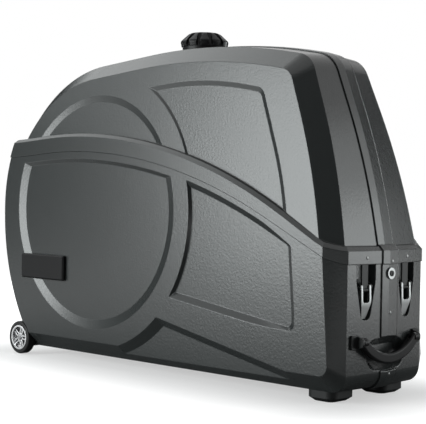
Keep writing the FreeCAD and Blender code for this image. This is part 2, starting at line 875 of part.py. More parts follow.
def latch_lever():
    """Fork-shaped lever: a bowed side profile cut to the outline of the fork."""
    top_z = pivot.z + latch_boss_radius
    tip_z = pivot.z - latch_lever_length
    waist_z = pivot.z - latch_notch_length
    fork = [
        (-latch_lever_tip_half, tip_z, latch_lever_tip_half * corner_keep_share),
        (latch_lever_tip_half, tip_z, latch_lever_tip_half * corner_keep_share),
        (prong_outer, waist_z, latch_notch_length),
        (prong_outer, top_z, 0),
        (prong_inner, top_z, 0),
        (prong_inner, waist_z, prong_inner * corner_keep_share),
        (-prong_inner, waist_z, prong_inner * corner_keep_share),
        (-prong_inner, top_z, 0),
        (-prong_outer, top_z, 0),
        (-prong_outer, waist_z, latch_notch_length),
    ]
    fork_reach = latch_boss_radius + latch_lever_bow + latch_pocket_depth
    front = prism(fork, end_plane(pivot.x - fork_reach), V(2.0 * fork_reach, 0, 0))
    tip_x = pivot.x - latch_lever_tip_in
    bow_x = pivot.x + latch_lever_bow
    profile = [
        (tip_x - latch_lever_thick, tip_z, latch_lever_thick * corner_keep_share / 2.0),
        (tip_x, tip_z, latch_lever_thick * corner_keep_share / 2.0),
        (bow_x, waist_z, latch_lever_length),
        (pivot.x + latch_boss_radius, top_z, latch_boss_radius * corner_keep_share),
        (pivot.x - latch_boss_radius, top_z, latch_boss_radius * corner_keep_share),
        (bow_x - latch_lever_thick, waist_z, latch_lever_length),
    ]
    side = prism(profile, side_plane(-prong_outer), V(0, 2.0 * prong_outer, 0))
    lever = front.common(side)
    bore_start = prong_inner - latch_prong_gap
    for bore in pair(latch_pin_radius + run_clearance, pivot, bore_start, prong_outer + overrun):
        lever = lever.cut(bore)
    reach = latch_strap_half + latch_trunnion_length + seat_gap
    for bore in pair(latch_trunnion_radius + run_clearance, crank, 0, reach):
        lever = lever.cut(bore)
    return lever


def latch_base():
    """Plate on the pocket's floor with two ears for the pivot pins."""
    floor_x = -latch_pocket_depth
    low_z = pivot.z - latch_base_below
    high_z = pivot.z + latch_base_above
    foot_half = latch_strap_half
    points = [
        (-foot_half, low_z, latch_knuckle_radius),
        (foot_half, low_z, latch_knuckle_radius),
        (ear_outer, pivot.z - latch_ear_radius, latch_ear_radius),
        (ear_outer, high_z, latch_knuckle_radius),
        (-ear_outer, high_z, latch_knuckle_radius),
        (-ear_outer, pivot.z - latch_ear_radius, latch_ear_radius),
    ]
    base = prism(points, end_plane(floor_x), V(latch_base_thick, 0, 0))
    ear_round = latch_ear_radius * ear_round_share
    profile = [
        (floor_x, pivot.z - latch_ear_radius, 0),
        (pivot.x + latch_ear_radius, pivot.z - latch_ear_radius, ear_round),
        (pivot.x + latch_ear_radius, pivot.z + latch_ear_radius, ear_round),
        (floor_x, high_z, 0),
    ]
    ears = [
        prism(profile, side_plane(ear_inner), V(0, latch_ear_width, 0)),
        prism(profile, side_plane(-ear_outer), V(0, latch_ear_width, 0)),
    ]
    base = base.fuse(ears)
    for bore in pair(latch_pin_radius, pivot, ear_inner, ear_outer):
        base = base.cut(bore)
    return base.removeSplitter()


def latch_pins():
    return pair(latch_pin_radius, pivot, prong_inner, ear_outer)


def latch_keeper():
    """Lip on the inside of the flange, just over the strap's end."""
    half = latch_strap_half + latch_prong_gap
    low_z = latch_strap_rise + latch_keeper_gap
    points = [
        (-latch_keeper_reach, low_z, 0),
        (-latch_keeper_set, low_z, 0),
        (-latch_keeper_set, low_z + latch_keeper_rise, 0),
        (-latch_keeper_set - latch_keeper_plate, low_z + latch_keeper_rise, 0),
        (-latch_keeper_set - latch_keeper_plate, low_z + latch_keeper_thick, 0),
        (-latch_keeper_reach, low_z + latch_keeper_thick, 0),
    ]
    return prism(points, side_plane(-half), V(0, 2.0 * half, 0))


# Cam lock
def lock_axis(radius, start_x, stop_x):
    return rod(radius, V(start_x, lock_y, lock_z), V(stop_x, lock_y, lock_z))


lock_back_x = lower_wall_x - lock_body_length
lock_front_x = lock_face_x + lock_rim_thick
lock_bore = lock_axis(lock_plug_radius + run_clearance, lock_back_x - overrun, lock_front_x + overrun)
lock_nut_x = lower_wall_x - shell_wall
lock_rim = lock_axis(lock_rim_radius, lower_wall_x - end_draft, lock_front_x)
lock_rim = lock_rim.cut(lower_full)
lock_body = lock_axis(lock_body_radius, lock_back_x, lock_front_x).fuse(lock_rim).cut(lock_bore)
lock_nut = lock_axis(lock_nut_radius, lock_nut_x - lock_nut_thick, lower_wall_x - shell_wall / 2.0)
lock_nut = lock_nut.cut(lock_axis(lock_body_radius, lock_back_x, lock_front_x))
lock_nut = lock_nut.cut(lower_near).Solids[0]
lock_plug = lock_axis(lock_plug_radius, lock_back_x - lock_cam_thick, lock_front_x + lock_plug_proud)
key_floor_x = lock_front_x + lock_plug_proud - lock_key_depth
key_slot = box(
    V(key_floor_x, lock_y - lock_key_width / 2.0, lock_z - lock_key_height / 2.0),
    V(lock_front_x + overrun, lock_y + lock_key_width / 2.0, lock_z + lock_key_height / 2.0),
)
lock_plug = lock_plug.cut(key_slot)
cam_half = lock_cam_width / 2.0
cam_points = [
    (lock_y - cam_half, lock_z - lock_cam_length, cam_half * corner_keep_share),
    (lock_y + cam_half, lock_z - lock_cam_length, cam_half * corner_keep_share),
    (lock_y + cam_half, lock_z + cam_half, cam_half * corner_keep_share),
    (lock_y - cam_half, lock_z + cam_half, cam_half * corner_keep_share),
]
cam_x = lock_back_x - seat_gap - lock_cam_thick
lock_cam = prism(cam_points, end_plane(cam_x), V(lock_cam_thick, 0, 0))
lock_cam = lock_cam.cut(lock_axis(lock_plug_radius, cam_x - overrun, lock_front_x))


# Bow handle on its two brackets
handle_wall_x = lower_wall_x - end_draft * handle_y / (half_width - edge_chamfer)
handle_pivot = V(handle_wall_x + handle_proud, 0, handle_z)
handle_radius = (handle_y * handle_y + handle_sag * handle_sag) / (2.0 * handle_sag)
handle_centre_z = handle_z - handle_sag + handle_radius


def pull_handle():
    """Bow bent to an arc between two pivot eyes."""
    start = V(handle_pivot.x - handle_thick / 2.0, 0, handle_centre_z)
    angle = math.degrees(math.asin(handle_y / handle_radius))
    half_bar = handle_width / 2.0
    outer = Part.makeCylinder(handle_radius + half_bar, handle_thick, start, V(1, 0, 0), 2.0 * angle)
    inner = Part.makeCylinder(handle_radius - half_bar, handle_thick, start, V(1, 0, 0), 2.0 * angle)
    bow = outer.cut(inner).Solids[0]
    middle = bow.CenterOfMass - start
    turn = math.degrees(math.atan2(middle.y, -middle.z))
    bow.rotate(start, V(1, 0, 0), -turn)
    rims = []
    for edge in bow.Edges:
        if edge.Length > handle_y:
            rims.append(edge)
    bow = bow.makeFillet(handle_soften, rims)
    half_eye = handle_eye_length / 2.0
    eyes = pair(handle_eye_radius, handle_pivot, handle_y - half_eye, handle_y + half_eye)
    handle = bow.fuse(eyes)
    trim = handle_y + half_eye
    handle = handle.common(box(V(-far_right, -trim, 0), V(far_right + overrun, trim, handle_centre_z)))
    for bore in pair(handle_pin_radius + run_clearance, handle_pivot, 0, handle_y + overrun):
        keep = crosswise(handle_pin_radius + run_clearance, handle_pivot, -handle_y / 2.0, handle_y / 2.0)
        handle = handle.cut(bore.cut(keep))
    return handle


def handle_bracket():
    """Plate, lug and stub pin of the near bracket."""
    lug_y = -(handle_y + handle_eye_length / 2.0 + seat_gap)
    plate_y = lug_y - handle_plate_length
    lug_round = handle_lug_radius * ear_round_share
    lug_x = handle_pivot.x + handle_lug_radius
    plate_points = [
        (plate_y, handle_z - handle_plate_half, handle_lug_radius / 2.0),
        (lug_y, handle_z - handle_plate_half, 0),
        (lug_y, handle_z + handle_plate_half, 0),
        (plate_y, handle_z + handle_plate_half, handle_lug_radius / 2.0),
    ]
    plate = prism(plate_points, end_plane(handle_wall_x - end_draft), V(end_draft + handle_plate_thick, 0, 0))
    lug_points = [
        (handle_wall_x - end_draft, handle_z - handle_plate_half, 0),
        (lug_x, handle_z - handle_lug_radius, lug_round),
        (lug_x, handle_z + handle_lug_radius, lug_round),
        (handle_wall_x - end_draft, handle_z + handle_plate_half, 0),
    ]
    lug = prism(lug_points, side_plane(lug_y), V(0, -handle_lug_thick, 0))
    pin = crosswise(handle_pin_radius, handle_pivot, lug_y, lug_y + handle_pin_length)
    return plate.fuse([lug, pin]).cut(lower_full).removeSplitter()


# Wheels
wheel_z = wheel_radius


def wheel_rod(radius, start_y, stop_y):
    return rod(radius, V(wheel_place_x, -start_y, wheel_z), V(wheel_place_x, -stop_y, wheel_z))


def turned(points):
    """Solid of revolution on the near wheel's axle from (radius, distance along the axle)."""
    put = lambda u, w: V(wheel_place_x + u, -w, wheel_z)
    face = Part.Face(rounded_wire(points, put))
    return face.revolve(V(wheel_place_x, 0, wheel_z), V(0, 1, 0), 360.0)


def wheel_tyre():
    return turned([
        (hub_radius, wheel_inner_y, 0),
        (wheel_radius, wheel_inner_y, wheel_shoulder),
        (wheel_radius, wheel_outer_y, wheel_shoulder),
        (hub_radius, wheel_outer_y, 0),
    ])


def wheel_hub():
    """Rim, core and slotted spokes of one piece."""
    face_y = wheel_outer_y - hub_dish
    rim = wheel_rod(hub_radius, wheel_inner_y, wheel_outer_y)
    rim = rim.cut(wheel_rod(hub_radius - hub_rim, wheel_inner_y - overrun, wheel_outer_y + overrun))
    hub = rim.fuse(wheel_rod(hub_core_radius, wheel_inner_y, face_y))
    spoke_tip = hub_radius - hub_rim / 2.0
    half_spoke = spoke_width / 2.0
    spoke = box(V(0, -face_y, -half_spoke), V(spoke_tip, -face_y + spoke_thick, half_spoke))
    slot = box(
        V(hub_core_radius, -face_y - overrun, -spoke_slot / 2.0),
        V(hub_radius - hub_rim, -face_y + overrun, spoke_slot / 2.0),
    )
    spoke = spoke.cut(slot)
    for index in range(spoke_count):
        copy = spoke.copy()
        copy.rotate(V(0, 0, 0), V(0, 1, 0), 360.0 * index / spoke_count)
        copy.translate(V(wheel_place_x, 0, wheel_z))
        hub = hub.fuse(copy)
    bore = wheel_rod(bearing_radius, wheel_inner_y - overrun, wheel_outer_y + overrun)
    return hub.cut(bore).removeSplitter()


def wheel_bearings():
    face_y = wheel_outer_y - hub_dish
    bore = wheel_rod(axle_radius + run_clearance, wheel_inner_y - overrun, wheel_outer_y + overrun)
    inner = wheel_rod(bearing_radius, wheel_inner_y, wheel_inner_y + bearing_length).cut(bore)
    outer = wheel_rod(bearing_radius, face_y - bearing_length, face_y).cut(bore)
    return [inner, outer]


bracket_outer_y = wheel_inner_y - axle_side_gap
bracket_inner_y = bracket_outer_y - bracket_width


def wheel_axle():
    head_y = wheel_outer_y - hub_dish + axle_side_gap
    return wheel_rod(axle_radius, bracket_inner_y, head_y).fuse(
        wheel_rod(axle_head_radius, head_y, head_y + axle_head_thick)
    )


def wheel_bracket():
    """Saddle on the corner of the case that carries the axle."""
    leg = bracket_radius * bracket_leg_share
    points = [
        (wheel_place_x - bracket_radius, wheel_z - bracket_radius * corner_keep_share, bracket_radius / 2.0),
        (wheel_place_x + leg, floor_z - lap_thick, 0),
        (wheel_place_x + leg, wheel_z + leg, 0),
        (wheel_place_x - bracket_radius, wheel_z + leg, bracket_radius / 2.0),
    ]
    block = prism(points, side_plane(-bracket_outer_y), V(0, bracket_width, 0))
    block = block.cut(lower_full)
    return block.cut(wheel_rod(axle_radius, bracket_inner_y - overrun, bracket_outer_y + overrun))


# Foot under the near corner of the handle end
def foot():
    foot_x = circle_x + foot_reach
    points = [
        (foot_x - foot_long / 2.0, -foot_y - foot_wide / 2.0, foot_corner),
        (foot_x + foot_long / 2.0, -foot_y - foot_wide / 2.0, foot_corner),
        (foot_x + foot_long / 2.0, -foot_y + foot_wide / 2.0, foot_corner),
        (foot_x - foot_long / 2.0, -foot_y + foot_wide / 2.0, foot_corner),
    ]
    sole = ruled([
        rounded_wire(even(points, foot_taper), top_plane(0)),
        rounded_wire(points, top_plane(foot_heel)),
        rounded_wire(points, top_plane(floor_z + edge_chamfer)),
    ])
    return sole.cut(lower_full)


# Bare plate that bridges the bevel of the wheel circle
def side_badge():
    points = [
        (circle_x + plate_left_reach, plate_low_z, plate_corner),
        (circle_x + plate_right_reach, plate_low_z, plate_corner),
        (circle_x + plate_right_reach, plate_high_z, plate_corner),
        (circle_x + plate_left_reach, plate_high_z, plate_corner),
    ]
    back_y = -half_width + circle_depth + shell_wall / 2.0
    rim_y = -half_width - plate_proud + plate_bevel
    plate = ruled([
        rounded_wire(even(points, plate_bevel), side_plane(-half_width - plate_proud)),
        rounded_wire(points, side_plane(rim_y)),
        rounded_wire(points, side_plane(back_y)),
    ])
    return plate.cut(lower_full)


# Hold-down knob on its seat
def knob_turned(points, base_z):
    put = lambda u, w: V(knob_x + u, 0, base_z + w)
    return Part.Face(rounded_wire(points, put)).revolve(V(knob_x, 0, 0), V(0, 0, 1), 360.0)


def knob_seat():
    start = V(knob_x, 0, knob_seat_z - overrun)
    seat = rod(knob_seat_radius, start, V(knob_x, 0, knob_seat_z)).cut(lid_solid).cut(lid_lap)
    return seat.cut(stud_hole)


knob_base_z = knob_seat_z + seat_gap


def top_knob():
    """Domed knob with a ring of finger flutes and a dished top."""
    knob = knob_turned([
        (0, 0, 0),
        (knob_radius - knob_soften, 0, 0),
        (knob_radius, knob_rim_height, knob_rim_height * corner_keep_share),
        (knob_crown_radius, knob_height, knob_crown_radius * corner_keep_share),
        (knob_dish_radius, knob_height, 0),
        (knob_dish_radius - knob_dish_depth, knob_height - knob_dish_depth, 0),
        (0, knob_height - knob_dish_depth, 0),
    ], knob_base_z)
    flute = rod(
        knob_flute_radius,
        V(knob_x + knob_radius + knob_flute_out, 0, knob_base_z - knob_flute_out),
        V(knob_x + knob_crown_radius, 0, knob_base_z + knob_height + knob_flute_out),
    )
    for index in range(knob_lobes):
        copy = flute.copy()
        copy.rotate(V(knob_x, 0, 0), V(0, 0, 1), 360.0 * index / knob_lobes)
        knob = knob.cut(copy)
    return knob.cut(knob_stud())


def knob_stud():
    top_z = knob_base_z + knob_height / 2.0
    return rod(stud_radius, V(knob_x, 0, knob_base_z - stud_length), V(knob_x, 0, top_z))


# Mast, rail, fork mount and cradle
inner_floor_z = floor_z + shell_wall
rail_top_z = inner_floor_z + rail_height


def square(half, corner, centre_x):
    return [
        (centre_x - half, -half, corner),
        (centre_x + half, -half, corner),
        (centre_x + half, half, corner),
        (centre_x - half, half, corner),
    ]


mast_top_z = knob_base_z - mast_top_gap
mast_half = mast_side / 2.0


def mast():
    tube_height = V(0, 0, mast_top_z - rail_top_z)
    tube = prism(square(mast_half, mast_corner, knob_x), top_plane(rail_top_z), tube_height)
    hollow = even(square(mast_half, mast_corner, knob_x), mast_wall)
    plate = prism(square(rail_width / 2.0, mast_corner, knob_x), top_plane(rail_top_z), V(0, 0, mast_wall))
    inside = prism(hollow, top_plane(rail_top_z), tube_height + V(0, 0, overrun))
    return tube.fuse(plate).cut(inside).removeSplitter()


def mast_insert():
    hollow = even(square(mast_half, mast_corner, knob_x), mast_wall)
    block = prism(hollow, top_plane(mast_top_z - insert_length), V(0, 0, insert_length))
    bore = rod(stud_radius + run_clearance, V(knob_x, 0, inner_floor_z), V(knob_x, 0, crown_z))
    return block.cut(bore)


def bike_rail():
    """Channel with inturned lips along the floor."""
    half = rail_width / 2.0
    lip = half - rail_lip
    points = [
        (-half, inner_floor_z, rail_wall),
        (half, inner_floor_z, rail_wall),
        (half, rail_top_z, rail_wall),
        (lip, rail_top_z, 0),
        (lip, rail_top_z - rail_wall, 0),
        (half - rail_wall, rail_top_z - rail_wall, 0),
        (half - rail_wall, inner_floor_z + rail_wall, 0),
        (-half + rail_wall, inner_floor_z + rail_wall, 0),
        (-half + rail_wall, rail_top_z - rail_wall, 0),
        (-lip, rail_top_z - rail_wall, 0),
        (-lip, rail_top_z, 0),
        (-half, rail_top_z, rail_wall),
    ]
    start = circle_x + rail_start_reach
    return prism(points, end_plane(start), V(rail_end_reach - rail_start_reach, 0, 0))


mount_x = circle_x + mount_reach
mount_top_z = rail_top_z + mount_height
barrel_half = mount_width / 2.0 + dropout_inset


def along_skewer(radius, start_y, stop_y):
    return rod(radius, V(mount_x, start_y, mount_top_z), V(mount_x, stop_y, mount_top_z))


def fork_mount():
    points = [
        (mount_x - mount_length / 2.0, rail_top_z, 0),
        (mount_x + mount_length / 2.0, rail_top_z, 0),
        (mount_x + mount_waist / 2.0, mount_top_z, 0),
        (mount_x - mount_waist / 2.0, mount_top_z, 0),
    ]
    body = prism(points, side_plane(-rail_width / 2.0), V(0, rail_width, 0))
    barrel = along_skewer(skewer_side, -barrel_half, barrel_half)
    bore = along_skewer(skewer_radius + run_clearance, -far_y, far_y)
    return body.fuse(barrel).cut(bore).removeSplitter()


cam_y = -barrel_half - dropout_gap - cam_radius


def fork_skewer():
    """Rod with a nut at the far end and the cam's pin at the near end."""
    nut_start = barrel_half + dropout_gap
    shaft = along_skewer(skewer_radius, cam_y, nut_start + skewer_nut_length)
    nut = along_skewer(skewer_nut_radius, nut_start, nut_start + skewer_nut_length)
    half_cam = V(0, 0, cam_height / 2.0)
    cam_place = V(mount_x, cam_y, mount_top_z)
    pin = rod(cam_pin_radius, cam_place - half_cam, cam_place + half_cam)
    return shaft.fuse([nut, pin]).removeSplitter()


def skewer_lever():
    """Cam of two discs round the skewer's pin, with a flat lever."""
    low = V(mount_x, cam_y, mount_top_z - cam_height / 2.0)
    high = V(mount_x, cam_y, mount_top_z + cam_height / 2.0)
    blade = [
        (mount_x, cam_y - cam_lever_thick / 2.0, 0),
        (mount_x + cam_lever_length, cam_y - cam_lever_thick / 2.0, 0),
        (mount_x + cam_lever_length, cam_y + cam_lever_thick / 2.0, 0),
        (mount_x, cam_y + cam_lever_thick / 2.0, 0),
    ]
    arm = prism(blade, top_plane(mount_top_z - cam_lever_width / 2.0), V(0, 0, cam_lever_width))
    lever = rod(cam_radius, low, high).fuse(arm)
    slot_half = skewer_radius + seat_gap
    slot = rod(
        cam_radius + seat_gap,
        V(mount_x, cam_y, mount_top_z - slot_half),
        V(mount_x, cam_y, mount_top_z + slot_half),
    )
    bore = rod(cam_pin_radius + run_clearance, low - V(0, 0, overrun), high + V(0, 0, overrun))
    return lever.cut(slot).cut(bore)


def frame_cradle():
    """Saddle block that takes the frame's bottom shell."""
    centre_x = circle_x + cradle_reach
    top_z = rail_top_z + cradle_height
    foot_half = cradle_length / 2.0
    head_half = cradle_saddle_radius + cradle_lip
    points = [
        (centre_x - foot_half, rail_top_z, 0),
        (centre_x + foot_half, rail_top_z, 0),
        (centre_x + head_half, top_z, mast_corner),
        (centre_x - head_half, top_z, mast_corner),
    ]
    block = prism(points, side_plane(-cradle_width / 2.0), V(0, cradle_width, 0))
    return block.cut(rod(cradle_saddle_radius, V(centre_x, -far_y, top_z), V(centre_x, far_y, top_z)))


# All pieces by name
pieces = {
    "lower_shell_near": lower_near,
    "lower_shell_far": lower_far,
    "lid_shell_near": lid_near,
    "lid_shell_far": lid_far,
    "lock_body": lock_body,
    "lock_nut": lock_nut,
    "lock_plug": lock_plug,
    "lock_cam": lock_cam,
    "pull_handle": pull_handle(),
    "side_badge": side_badge(),
    "knob_seat": knob_seat(),
    "top_knob": top_knob(),
    "knob_stud": knob_stud(),
    "mast": mast(),
    "mast_insert": mast_insert(),
    "bike_rail": bike_rail(),
    "fork_mount": fork_mount(),
    "fork_skewer": fork_skewer(),
    "skewer_lever": skewer_lever(),
    "frame_cradle": frame_cradle(),
}
sided = {
    "handle_bracket": handle_bracket(),
    "wheel_tyre": wheel_tyre(),
    "wheel_hub": wheel_hub(),
    "wheel_bearings": Part.makeCompound(wheel_bearings()),
    "wheel_axle": wheel_axle(),
    "wheel_bracket": wheel_bracket(),
    "foot": foot(),
}
for name, shape in sided.items():
    pieces[name + "_near"] = shape
    pieces[name + "_far"] = mirrored(shape)
all_pins = []
for name, end, y in latch_places:
    frame = latch_frame(end, y)
    pieces["latch_base_" + name] = placed(latch_base(), frame)
    pieces["latch_lever_" + name] = placed(latch_lever(), frame)
    pieces["latch_strap_" + name] = placed(latch_strap(), frame)
    lips = placed(latch_keeper(), frame).cut(lid_shell).Solids
    pieces["latch_keeper_" + name] = max(lips, key=lambda lip: lip.Volume)
    all_pins += [placed(pin, frame) for pin in latch_pins()]
pieces["latch_pins"] = Part.makeCompound(all_pins)

os.makedirs("parts", exist_ok=True)
for name, shape in sorted(pieces.items()):
    solids = shape.Solids
    whole = solids[0] if len(solids) == 1 else Part.makeCompound(solids)
    print(name, len(solids), shape.isValid())
    whole.exportStep("parts/" + name + ".step")
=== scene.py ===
# %% [markdown]
# A hard travel case for one bicycle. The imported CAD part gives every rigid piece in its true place,
# and this script gives them finishes, adds the small fasteners and sets up the studio.

# %% Load the part
import json
import math
import bmesh
import bpy
from mathutils import Matrix, Vector


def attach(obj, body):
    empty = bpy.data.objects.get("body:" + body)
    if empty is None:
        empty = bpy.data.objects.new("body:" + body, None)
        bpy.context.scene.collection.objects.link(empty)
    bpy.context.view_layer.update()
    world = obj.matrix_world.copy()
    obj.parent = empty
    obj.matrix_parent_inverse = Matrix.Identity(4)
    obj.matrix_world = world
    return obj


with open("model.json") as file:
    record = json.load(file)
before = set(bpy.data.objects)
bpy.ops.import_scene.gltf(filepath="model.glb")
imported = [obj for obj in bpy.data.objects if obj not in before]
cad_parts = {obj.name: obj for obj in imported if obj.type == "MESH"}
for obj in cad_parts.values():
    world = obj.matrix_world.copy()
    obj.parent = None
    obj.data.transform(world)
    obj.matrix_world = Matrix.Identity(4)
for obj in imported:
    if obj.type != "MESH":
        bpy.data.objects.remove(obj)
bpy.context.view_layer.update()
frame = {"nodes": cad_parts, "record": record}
nodes = frame["nodes"]
print("nodes:", len(nodes))

# %% [markdown]
# Moulded plastic, rubber and plated metal all carry a fine irregular surface. A noise pattern in the
# piece's own coordinates could be wired into each material by hand. One shared node group is shorter and
# keeps the grain in real sizes on every piece. It puts out a height for the grain and a tone for slow clouds.

# %% Shared node group for surface grain
FINE_GRAIN = 900.0
WIDE_CLOUDS = 6.0
CLOUD_SHARE = 0.2
NOISE_MIDDLE = 0.5


def grain_group():
    group = bpy.data.node_groups.new("surface grain", "ShaderNodeTree")
    for label, value in (("Grain Scale", FINE_GRAIN), ("Cloud Scale", WIDE_CLOUDS), ("Cloud", CLOUD_SHARE)):
        socket = group.interface.new_socket(label, in_out="INPUT", socket_type="NodeSocketFloat")
        socket.default_value = value
    for label in ("Height", "Tone"):
        group.interface.new_socket(label, in_out="OUTPUT", socket_type="NodeSocketFloat")
    make, link = group.nodes.new, group.links.new
    start, end = make("NodeGroupInput"), make("NodeGroupOutput")
    place = make("ShaderNodeTexCoord")
    fine = make("ShaderNodeTexNoise")
    fine.inputs["Detail"].default_value = 1.0
    cloud = make("ShaderNodeTexNoise")
    cloud.inputs["Detail"].default_value = 4.0
    for noise, label in ((fine, "Grain Scale"), (cloud, "Cloud Scale")):
        link(place.outputs["Object"], noise.inputs["Vector"])
        link(start.outputs[label], noise.inputs["Scale"])
    centred = make("ShaderNodeMath")
    centred.operation = "SUBTRACT"
    centred.inputs[1].default_value = NOISE_MIDDLE
    link(cloud.outputs["Fac"], centred.inputs[0])
    scaled = make("ShaderNodeMath")
    scaled.operation = "MULTIPLY_ADD"
    scaled.inputs[2].default_value = 1.0
    link(centred.outputs[0], scaled.inputs[0])
    link(start.outputs["Cloud"], scaled.inputs[1])
    link(fine.outputs["Fac"], end.inputs["Height"])
    link(scaled.outputs[0], end.inputs["Tone"])
    return group


GRAIN = grain_group()
print("group:", GRAIN.name)

# %% [markdown]
# Every finish is a Principled shader with its own colour and gloss. The tone of the grain group darkens
# and lightens the colour a little, and its height makes the bump. Moulded edges are round and catch the
# light. A bevel modifier could round them, but it would change the CAD mesh, so a Bevel node does it in
# the shading.

# %% How a finish is made
EDGE_SAMPLES = 6
GRAIN_DEPTH = 0.0004


def finish(name, colour, rough, metal=0.0, spec=0.5, grain=FINE_GRAIN, bump=0.1, edge=0.0012,
           cloud=CLOUD_SHARE, cloud_scale=WIDE_CLOUDS):
    material = bpy.data.materials.new(name)
    material.use_nodes = True
    tree = material.node_tree
    make, link = tree.nodes.new, tree.links.new
    shader = tree.nodes["Principled BSDF"]
    shader.inputs["Roughness"].default_value = rough
    shader.inputs["Metallic"].default_value = metal
    shader.inputs["Specular IOR Level"].default_value = spec
    group = make("ShaderNodeGroup")
    group.node_tree = GRAIN
    group.inputs["Grain Scale"].default_value = grain
    group.inputs["Cloud Scale"].default_value = cloud_scale
    group.inputs["Cloud"].default_value = cloud
    tint = make("ShaderNodeMix")
    tint.data_type = "RGBA"
    tint.blend_type = "MULTIPLY"
    tint.inputs["Factor"].default_value = 1.0
    tint.inputs["A"].default_value = (*colour, 1.0)
    link(group.outputs["Tone"], tint.inputs["B"])
    link(tint.outputs["Result"], shader.inputs["Base Color"])
    bevel = make("ShaderNodeBevel")
    bevel.samples = EDGE_SAMPLES
    bevel.inputs["Radius"].default_value = edge
    relief = make("ShaderNodeBump")
    relief.inputs["Strength"].default_value = bump
    relief.inputs["Distance"].default_value = GRAIN_DEPTH
    link(group.outputs["Height"], relief.inputs["Height"])
    link(bevel.outputs["Normal"], relief.inputs["Normal"])
    link(relief.outputs["Normal"], shader.inputs["Normal"])
    return material


print("edge samples:", EDGE_SAMPLES)

# %% [markdown]
# The shells are pressed from a grained charcoal sheet. The rest is black plastic, black paint, rubber and
# plated metal. One finish for each slot of the record would do, but the bright slot takes in things that
# differ on the real case: satin levers, a smoked lock with a black plug and bright wheel hubs. The latch
# bases sink into dark pockets, so they get black paint as painted shade of those pockets. So these pieces
# have their own finish, found by the start of their names.

# %% Finishes of the pieces
BLACK_METAL = finish("black painted metal", (0.014, 0.015, 0.015), rough=0.36, spec=0.2, bump=0.03)
SLOT_FINISHES = {
    "shell_grey": finish(
        "grained charcoal shell", (0.028, 0.031, 0.031), rough=0.26, grain=180.0, bump=0.6, edge=0.003
    ),
    "black_plastic": finish(
        "black moulded plastic", (0.010, 0.010, 0.0105), rough=0.36, spec=0.14, bump=0.05
    ),
    "black_metal": BLACK_METAL,
    "foot_rubber": finish("black foot rubber", (0.014, 0.015, 0.015), rough=0.5, spec=0.25),
    "tyre_rubber": finish("black tyre rubber", (0.014, 0.014, 0.014), rough=0.5, spec=0.25),
    "steel": finish("zinc plated steel", (0.55, 0.55, 0.56), rough=0.32, metal=1.0, bump=0.05),
    "rail_metal": finish("anodised rail", (0.6, 0.61, 0.62), rough=0.38, metal=1.0, bump=0.08),
}
OWN_FINISHES = {
    "latch_lever": finish(
        "satin zinc lever", (0.36, 0.37, 0.37), rough=0.44, metal=1.0, bump=0.03, cloud=0.3, cloud_scale=40.0
    ),
    # painted shade: the latch bases are black for the shade of the pockets they sink into
    "latch_base": BLACK_METAL,
    "lock_body": finish("smoked chrome lock", (0.25, 0.255, 0.255), rough=0.3, metal=1.0, bump=0.02),
    "lock_plug": BLACK_METAL,
    "wheel_hub": finish("satin chrome hub", (0.85, 0.85, 0.86), rough=0.36, metal=1.0, bump=0.02, cloud=0.1),
}


def finish_of(label, slot):
    for kind, own in OWN_FINISHES.items():
        if label.startswith(kind):
            return own
    return SLOT_FINISHES[slot]


for entry in frame["record"]["subparts"]:
    materials = nodes[entry["node"]].data.materials
    materials.clear()
    materials.append(finish_of(entry["node"], entry["material_slot"]))
print("finishes:", len({*SLOT_FINISHES.values(), *OWN_FINISHES.values()}))

# %% [markdown]
# Small blind rivets hold the latch keepers to the lid's flange and join the two halves along the lap band.
# Each head could be a sphere placed by hand, but the walls lean and the band stands proud, so a place set
# by hand would sink or float. A Geometry Nodes tree casts a ray from each point to the wall and sets a
# flattened head on the spot, square to the wall.

# %% Geometry Nodes tree for rivet heads
RAY_LENGTH = 1.0
HEAD_SEGMENTS = 20
HEAD_RINGS = 12


